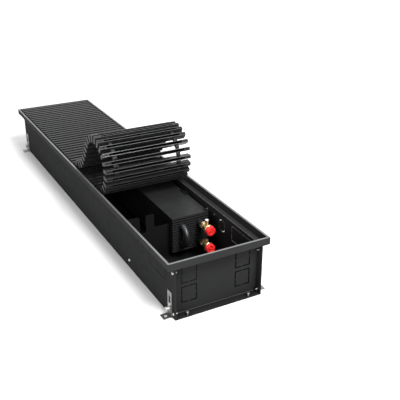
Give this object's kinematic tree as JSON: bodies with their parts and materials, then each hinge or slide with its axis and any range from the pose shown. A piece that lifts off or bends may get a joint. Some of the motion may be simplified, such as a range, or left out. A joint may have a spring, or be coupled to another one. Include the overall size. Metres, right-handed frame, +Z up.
{
  "type": "trench convector heater",
  "caption": "Long shallow floor-trench convector: a finned water heat exchanger in a steel trough, under a grille of crosswise bars partly rolled up.",
  "frame": {"origin": "middle of the footprint, on the floor that the feet stand on", "axes": "+X across the trench towards the water connections' side, +Y along the trench away from the connection end, +Z up"},
  "size_m": [0.2686, 1.216, 0.2911],
  "materials": {
    "casing_paint": "satin",
    "fin_paint": "satin",
    "tube_paint": "satin",
    "zinc": "satin",
    "brass": "satin",
    "cap_plastic": "satin",
    "bar_aluminium": "satin",
    "spacer_plastic": "matte",
    "plug_plastic": "matte"
  },
  "bodies": {
    "casing": {"trough": "casing_paint", "side_rail_left": "casing_paint", "side_rail_right": "casing_paint", "side_ledges": "casing_paint", "end_rail_near": "casing_paint", "end_rail_far": "casing_paint", "end_plate_near": "casing_paint", "end_plate_far": "casing_paint", "end_plate_screws": "zinc", "floor_screws": "zinc", "wall_screws": "zinc", "partition_plate": "casing_paint", "exchanger_fins": "fin_paint", "exchanger_end_plates": "fin_paint", "exchanger_tubes": "tube_paint", "return_bend_near": "tube_paint", "return_bends_far": "tube_paint", "exchanger_saddles": "casing_paint", "exchanger_hangers": "casing_paint", "flow_valve": "brass", "return_valve": "brass", "foot_clamp_bolts": "zinc", "foot_guide_screws": "zinc"},
    "air_vent": {"air_vent": "zinc"},
    "flow_cap": {"flow_cap": "cap_plastic"},
    "return_cap": {"return_cap": "cap_plastic"},
    "foot_near_left": {"foot_near_left": "zinc"},
    "foot_near_right": {"foot_near_right": "zinc"},
    "foot_far_left": {"foot_far_left": "zinc"},
    "foot_far_right": {"foot_far_right": "zinc"},
    "grille": {"grille_bars": "bar_aluminium", "grille_spacers": "spacer_plastic", "grille_end_plugs": "plug_plastic"},
    "grille_link_01": {"grille_link_01": "bar_aluminium"},
    "grille_link_02": {"grille_link_02": "bar_aluminium"},
    "grille_link_03": {"grille_link_03": "bar_aluminium"},
    "grille_link_04": {"grille_link_04": "bar_aluminium"},
    "grille_link_05": {"grille_link_05": "bar_aluminium"},
    "grille_link_06": {"grille_link_06": "bar_aluminium"},
    "grille_link_07": {"grille_link_07": "bar_aluminium"},
    "grille_link_08": {"grille_link_08": "bar_aluminium"},
    "grille_link_09": {"grille_link_09": "bar_aluminium"},
    "grille_link_10": {"grille_link_10": "bar_aluminium"},
    "grille_link_11": {"grille_link_11": "bar_aluminium"},
    "grille_link_12": {"grille_link_12": "bar_aluminium"},
    "grille_link_13": {"grille_link_13": "bar_aluminium"},
    "grille_link_14": {"grille_link_14": "bar_aluminium"},
    "grille_link_15": {"grille_link_15": "bar_aluminium"},
    "grille_link_16": {"grille_link_16": "bar_aluminium"},
    "grille_link_17": {"grille_link_17": "bar_aluminium"},
    "grille_link_18": {"grille_link_18": "bar_aluminium"},
    "grille_link_19": {"grille_link_19": "bar_aluminium"},
    "grille_link_20": {"grille_link_20": "bar_aluminium"},
    "grille_link_21": {"grille_link_21": "bar_aluminium"},
    "grille_link_22": {"grille_link_22": "bar_aluminium"}
  },
  "joints": [
    {"name": "foot_near_left_slide", "type": "slide", "parent": "casing", "child": "foot_near_left", "axis": [0, 0, -1], "range_m": [0, 0.018]},
    {"name": "foot_near_right_slide", "type": "slide", "parent": "casing", "child": "foot_near_right", "axis": [0, 0, -1], "range_m": [0, 0.018]},
    {"name": "foot_far_left_slide", "type": "slide", "parent": "casing", "child": "foot_far_left", "axis": [0, 0, -1], "range_m": [0, 0.018]},
    {"name": "foot_far_right_slide", "type": "slide", "parent": "casing", "child": "foot_far_right", "axis": [0, 0, -1], "range_m": [0, 0.018]},
    {"name": "air_vent_turn", "type": "hinge", "parent": "casing", "child": "air_vent", "pos_m": [0.0795, -0.4006, 0.108], "axis": [0, 0, 1], "range_deg": [0, 360]},
    {"name": "flow_cap_slide", "type": "slide", "parent": "casing", "child": "flow_cap", "axis": [0, -1, 0], "range_m": [0, 0.045]},
    {"name": "return_cap_slide", "type": "slide", "parent": "casing", "child": "return_cap", "axis": [0, -1, 0], "range_m": [0, 0.045]},
    {"name": "grille_lift", "type": "slide", "parent": "casing", "child": "grille", "axis": [0, 0, 1], "range_m": [0, 0.12]},
    {"name": "grille_link_01_hinge", "type": "hinge", "parent": "grille", "child": "grille_link_01", "pos_m": [0, -0.16715, 0.1408], "axis": [1, 0, 0], "range_deg": [0, 15.91]},
    {"name": "grille_link_02_hinge", "type": "hinge", "parent": "grille_link_01", "child": "grille_link_02", "pos_m": [0, -0.1861, 0.1462], "axis": [1, 0, 0], "range_deg": [0, 15.91]},
    {"name": "grille_link_03_hinge", "type": "hinge", "parent": "grille_link_02", "child": "grille_link_03", "pos_m": [0, -0.20284, 0.15658], "axis": [1, 0, 0], "range_deg": [0, 15.91]},
    {"name": "grille_link_04_hinge", "type": "hinge", "parent": "grille_link_03", "child": "grille_link_04", "pos_m": [0, -0.21609, 0.17116], "axis": [1, 0, 0], "range_deg": [0, 15.91]},
    {"name": "grille_link_05_hinge", "type": "hinge", "parent": "grille_link_04", "child": "grille_link_05", "pos_m": [0, -0.22484, 0.18881], "axis": [1, 0, 0], "range_deg": [0, 15.91]},
    {"name": "grille_link_06_hinge", "type": "hinge", "parent": "grille_link_05", "child": "grille_link_06", "pos_m": [0, -0.22842, 0.20818], "axis": [1, 0, 0], "range_deg": [0, 15.91]},
    {"name": "grille_link_07_hinge", "type": "hinge", "parent": "grille_link_06", "child": "grille_link_07", "pos_m": [0, -0.22655, 0.22779], "axis": [1, 0, 0], "range_deg": [0, 15.91]},
    {"name": "grille_link_08_hinge", "type": "hinge", "parent": "grille_link_07", "child": "grille_link_08", "pos_m": [0, -0.21938, 0.24614], "axis": [1, 0, 0], "range_deg": [0, 15.91]},
    {"name": "grille_link_09_hinge", "type": "hinge", "parent": "grille_link_08", "child": "grille_link_09", "pos_m": [0, -0.20746, 0.26182], "axis": [1, 0, 0], "range_deg": [0, 15.91]},
    {"name": "grille_link_10_hinge", "type": "hinge", "parent": "grille_link_09", "child": "grille_link_10", "pos_m": [0, -0.19169, 0.27363], "axis": [1, 0, 0], "range_deg": [0, 15.91]},
    {"name": "grille_link_11_hinge", "type": "hinge", "parent": "grille_link_10", "child": "grille_link_11", "pos_m": [0, -0.17329, 0.28067], "axis": [1, 0, 0], "range_deg": [0, 15.91]},
    {"name": "grille_link_12_hinge", "type": "hinge", "parent": "grille_link_11", "child": "grille_link_12", "pos_m": [0, -0.15367, 0.2824], "axis": [1, 0, 0], "range_deg": [0, 15.91]},
    {"name": "grille_link_13_hinge", "type": "hinge", "parent": "grille_link_12", "child": "grille_link_13", "pos_m": [0, -0.13432, 0.27868], "axis": [1, 0, 0], "range_deg": [0, 15.91]},
    {"name": "grille_link_14_hinge", "type": "hinge", "parent": "grille_link_13", "child": "grille_link_14", "pos_m": [0, -0.11674, 0.2698], "axis": [1, 0, 0], "range_deg": [0, 15.91]},
    {"name": "grille_link_15_hinge", "type": "hinge", "parent": "grille_link_14", "child": "grille_link_15", "pos_m": [0, -0.10225, 0.25645], "axis": [1, 0, 0], "range_deg": [0, 15.91]},
    {"name": "grille_link_16_hinge", "type": "hinge", "parent": "grille_link_15", "child": "grille_link_16", "pos_m": [0, -0.09199, 0.23963], "axis": [1, 0, 0], "range_deg": [-2, 0]},
    {"name": "grille_link_17_hinge", "type": "hinge", "parent": "grille_link_16", "child": "grille_link_17", "pos_m": [0, -0.08115, 0.22318], "axis": [1, 0, 0], "range_deg": [-2, 0]},
    {"name": "grille_link_18_hinge", "type": "hinge", "parent": "grille_link_17", "child": "grille_link_18", "pos_m": [0, -0.06973, 0.20713], "axis": [1, 0, 0], "range_deg": [-2, 0]},
    {"name": "grille_link_19_hinge", "type": "hinge", "parent": "grille_link_18", "child": "grille_link_19", "pos_m": [0, -0.05777, 0.19148], "axis": [1, 0, 0], "range_deg": [-2, 0]},
    {"name": "grille_link_20_hinge", "type": "hinge", "parent": "grille_link_19", "child": "grille_link_20", "pos_m": [0, -0.04526, 0.17625], "axis": [1, 0, 0], "range_deg": [-16.87, 0]},
    {"name": "grille_link_21_hinge", "type": "hinge", "parent": "grille_link_20", "child": "grille_link_21", "pos_m": [0, -0.02888, 0.16532], "axis": [1, 0, 0], "range_deg": [-16.87, 0]},
    {"name": "grille_link_22_hinge", "type": "hinge", "parent": "grille_link_21", "child": "grille_link_22", "pos_m": [0, -0.01003, 0.1596], "axis": [1, 0, 0], "range_deg": [-16.87, 0]}
  ],
  "couplings": [
    {"joint": "grille_link_13_hinge", "follows": "grille_link_12_hinge", "ratio": 1},
    {"joint": "grille_link_14_hinge", "follows": "grille_link_12_hinge", "ratio": 1},
    {"joint": "grille_link_15_hinge", "follows": "grille_link_12_hinge", "ratio": 1},
    {"joint": "grille_link_16_hinge", "follows": "grille_link_12_hinge", "ratio": -0.12574},
    {"joint": "grille_link_17_hinge", "follows": "grille_link_12_hinge", "ratio": -0.12574},
    {"joint": "grille_link_18_hinge", "follows": "grille_link_12_hinge", "ratio": -0.12574},
    {"joint": "grille_link_19_hinge", "follows": "grille_link_12_hinge", "ratio": -0.12574},
    {"joint": "grille_link_20_hinge", "follows": "grille_link_12_hinge", "ratio": -1.0603},
    {"joint": "grille_link_21_hinge", "follows": "grille_link_12_hinge", "ratio": -1.0603},
    {"joint": "grille_link_22_hinge", "follows": "grille_link_12_hinge", "ratio": -1.0603}
  ]
}
